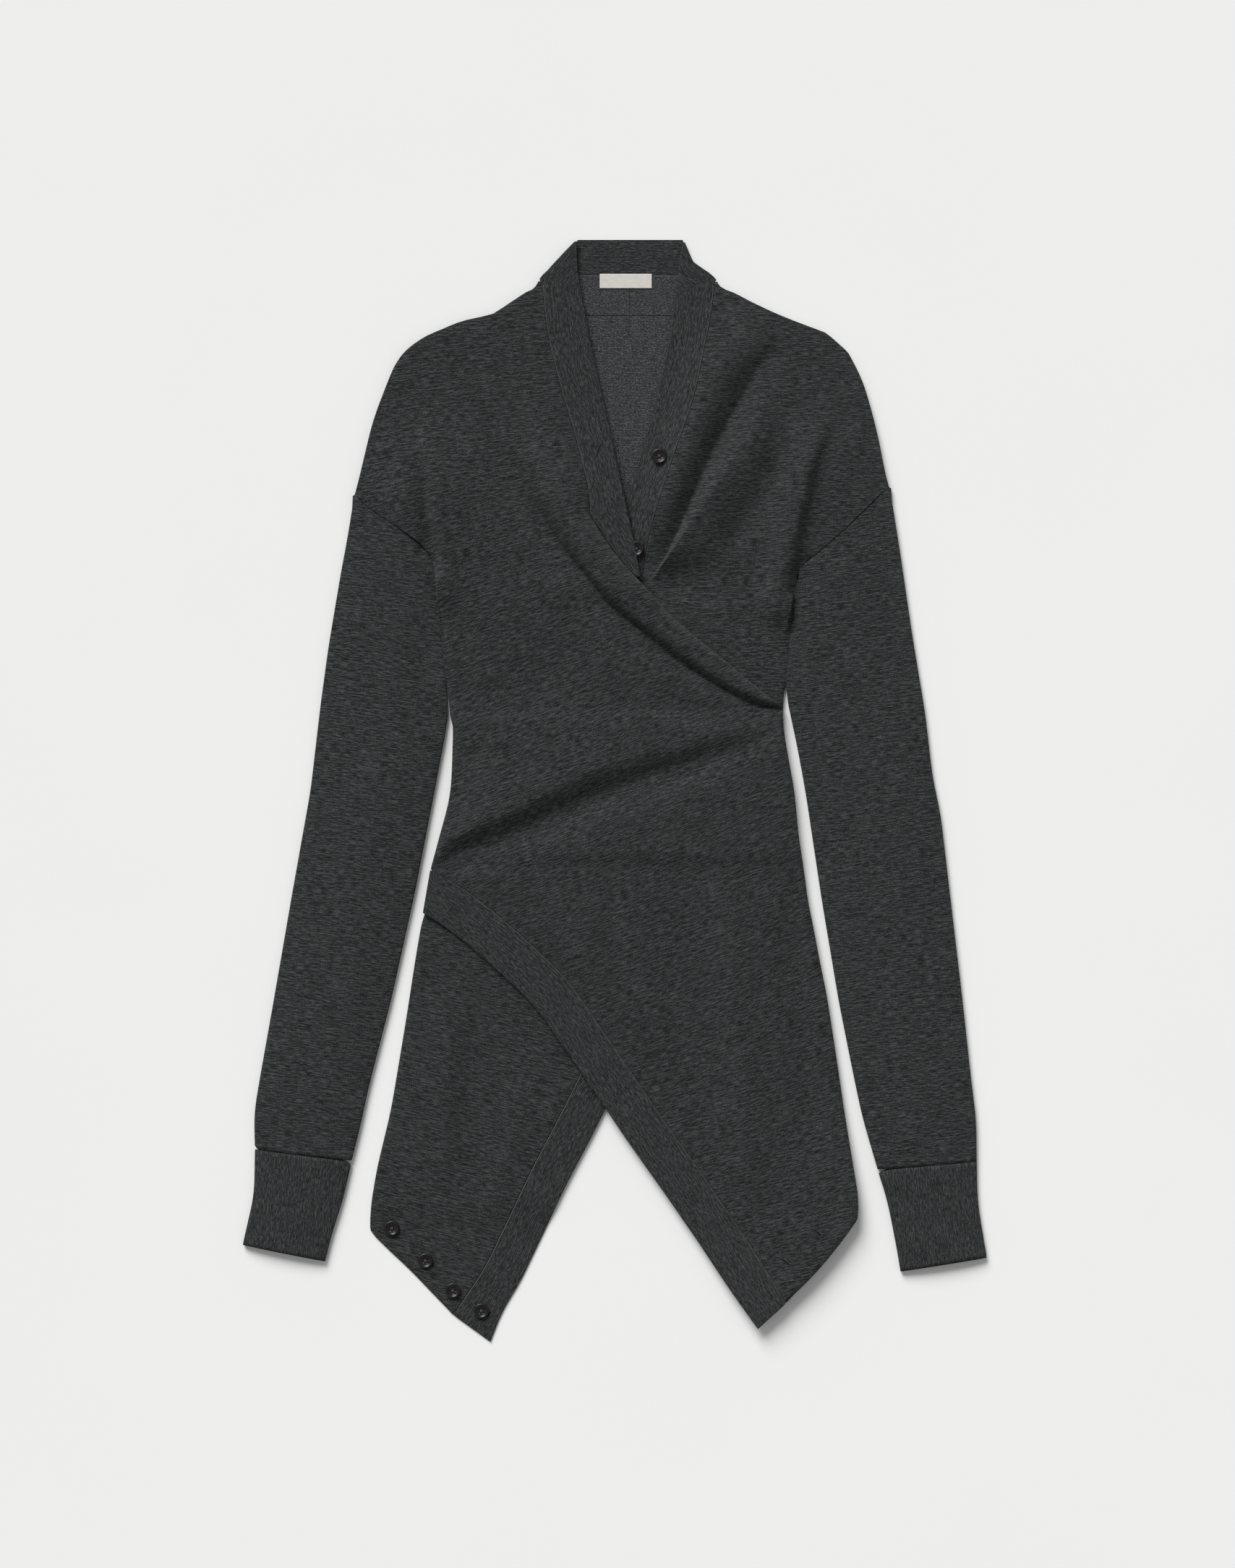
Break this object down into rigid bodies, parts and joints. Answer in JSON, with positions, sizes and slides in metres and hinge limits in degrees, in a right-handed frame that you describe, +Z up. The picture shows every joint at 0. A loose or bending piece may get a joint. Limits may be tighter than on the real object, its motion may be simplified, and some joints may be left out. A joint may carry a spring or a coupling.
{
  "type": "wrap cardigan",
  "caption": "Long-sleeved fine-knit wrap cardigan laid flat, fronts crossed over a V neck, with slanting hem bands and pointed tails.",
  "frame": {"origin": "middle of the laid garment's outline, on the surface it lies on", "axes": "+X to the viewer's right, +Y up the garment towards the collar, +Z up off the surface"},
  "size_m": [0.586, 0.8686, 0.0142],
  "materials": {
    "charcoal_knit": "charcoal melange jersey, matt with a soft nap",
    "rib_knit": "charcoal melange fine rib, matt",
    "inside_knit": "purl side of the jersey, matt",
    "label_cloth": "blank off-white woven ribbon",
    "horn": "dark horn, polished rim"
  },
  "bodies": {
    "root": {"back": "inside_knit", "back_hem_band": "rib_knit", "back_yoke_left": "inside_knit", "back_yoke_right": "inside_knit", "collar_back": "rib_knit", "neck_label": "label_cloth", "underlap_front": "charcoal_knit", "neck_band_right": "rib_knit", "underlap_hem_band": "rib_knit", "overlap_front": "charcoal_knit", "neck_band_left": "rib_knit", "overlap_hem_band": "rib_knit", "sleeve_left": "charcoal_knit", "sleeve_right": "charcoal_knit", "cuff_left": "rib_knit", "cuff_right": "rib_knit", "button_neck_1": "horn", "button_neck_2": "horn", "button_tail_1": "horn", "button_tail_2": "horn", "button_tail_3": "horn", "button_tail_4": "horn"}
  },
  "joints": []
}
